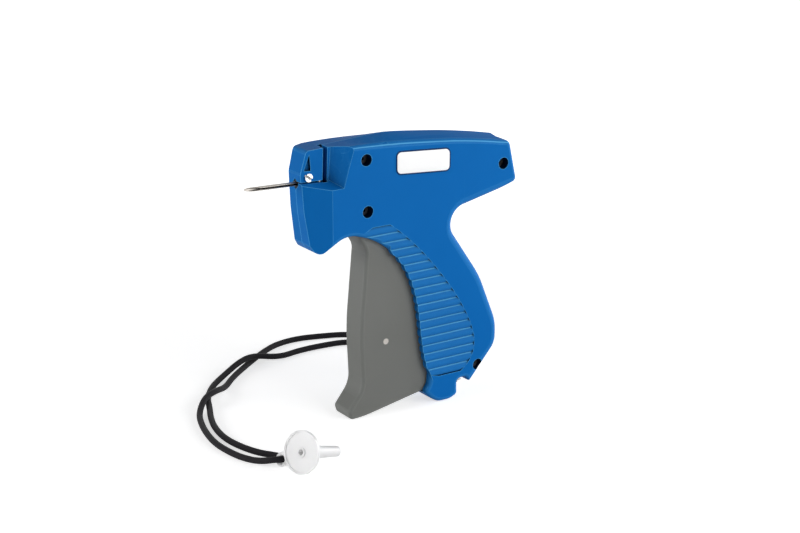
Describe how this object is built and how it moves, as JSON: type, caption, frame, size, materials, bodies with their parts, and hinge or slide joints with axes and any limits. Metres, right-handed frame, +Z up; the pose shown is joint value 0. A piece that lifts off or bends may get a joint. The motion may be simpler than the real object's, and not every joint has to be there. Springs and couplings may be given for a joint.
{
  "type": "garment tag attacher",
  "caption": "Pistol-grip tool that pushes plastic tag fasteners through a hollow needle when its long trigger is squeezed, with a wrist cord and a needle cap.",
  "frame": {"origin": "On the surface it stands on, under the middle of the box of the tool without its cord and cap.", "axes": "+X from the needle towards the rear of the barrel, +Y to the tool's right side, +Z up"},
  "size_m": [0.1766, 0.1713, 0.1465],
  "materials": {
    "housing_plastic": "satin moulded, saturated blue",
    "trigger_plastic": "matt moulded, warm grey",
    "inner_plastic": "natural acetal",
    "dark_plastic": "black moulded",
    "gear_plastic": "natural nylon",
    "steel": "ground",
    "nickel": "nickel plated",
    "black_steel": "black oxide",
    "spring_wire": "drawn wire",
    "cord_braid": "braided nylon",
    "cap_plastic": "soft translucent white"
  },
  "bodies": {
    "housing": {"left_housing": "housing_plastic", "right_housing": "housing_plastic", "trigger_pivot_pin": "steel", "return_spring": "spring_wire", "gear_axle": "steel", "needle": "steel", "needle_base": "dark_plastic", "knife": "steel", "feed_wheel_axle": "steel", "index_lever_pin": "steel", "backstop_leaf": "spring_wire", "housing_screws": "black_steel", "lanyard_pin": "steel", "cord_crimp": "steel", "wrist_cord": "cord_braid", "needle_cap": "cap_plastic"},
    "trigger": {"trigger": "trigger_plastic", "spring_pin": "steel"},
    "spring_guide": {"spring_guide": "inner_plastic"},
    "drive_gear": {"drive_gear": "gear_plastic"},
    "slide": {"slide": "inner_plastic", "push_rod": "steel"},
    "feed_wheel": {"feed_wheel": "gear_plastic"},
    "index_lever": {"index_lever": "inner_plastic"},
    "needle_lock": {"needle_lock": "nickel"}
  },
  "joints": [
    {"name": "trigger_squeeze", "type": "hinge", "parent": "housing", "child": "trigger", "pos_m": [0.017, 0, 0.014], "axis": [0, 1, 0], "range_deg": [0, 14.44], "stiffness_Nm_per_rad": 0.8, "springref_deg": -14.32, "deforming": ["return_spring"]},
    {"name": "guide_tilt", "type": "hinge", "parent": "trigger", "child": "spring_guide", "pos_m": [-0.0017, 0, 0.0389], "axis": [0, 1, 0], "range_deg": [-7.75, 0]},
    {"name": "gear_spin", "type": "hinge", "parent": "housing", "child": "drive_gear", "pos_m": [0.00727, 0, 0.11508], "axis": [0, -1, 0], "range_deg": [0, 252.1]},
    {"name": "slide_stroke", "type": "slide", "parent": "housing", "child": "slide", "axis": [-0.9994, 0, 0.0349], "range_m": [0, 0.044]},
    {"name": "feed_step", "type": "hinge", "parent": "housing", "child": "feed_wheel", "pos_m": [-0.03644, 0.0033, 0.13508], "axis": [0.9994, 0, -0.0349], "range_deg": [0, 45.05]},
    {"name": "lever_lift", "type": "hinge", "parent": "housing", "child": "index_lever", "pos_m": [-0.02423, 0, 0.13806], "axis": [0, 1, 0], "range_deg": [0, 14.5]},
    {"name": "needle_lock_turn", "type": "hinge", "parent": "housing", "child": "needle_lock", "pos_m": [-0.04517, 0, 0.13168], "axis": [0, 1, 0], "range_deg": [0, 90]}
  ],
  "couplings": [
    {"joint": "guide_tilt", "follows": "trigger_squeeze", "ratio": -0.5346},
    {"joint": "gear_spin", "follows": "trigger_squeeze", "ratio": 17.455},
    {"joint": "slide_stroke", "follows": "trigger_squeeze", "m_per_rad": 0.17455},
    {"joint": "feed_step", "follows": "trigger_squeeze", "ratio": 3.1163},
    {"joint": "lever_lift", "follows": "trigger_squeeze", "ratio": 1}
  ]
}
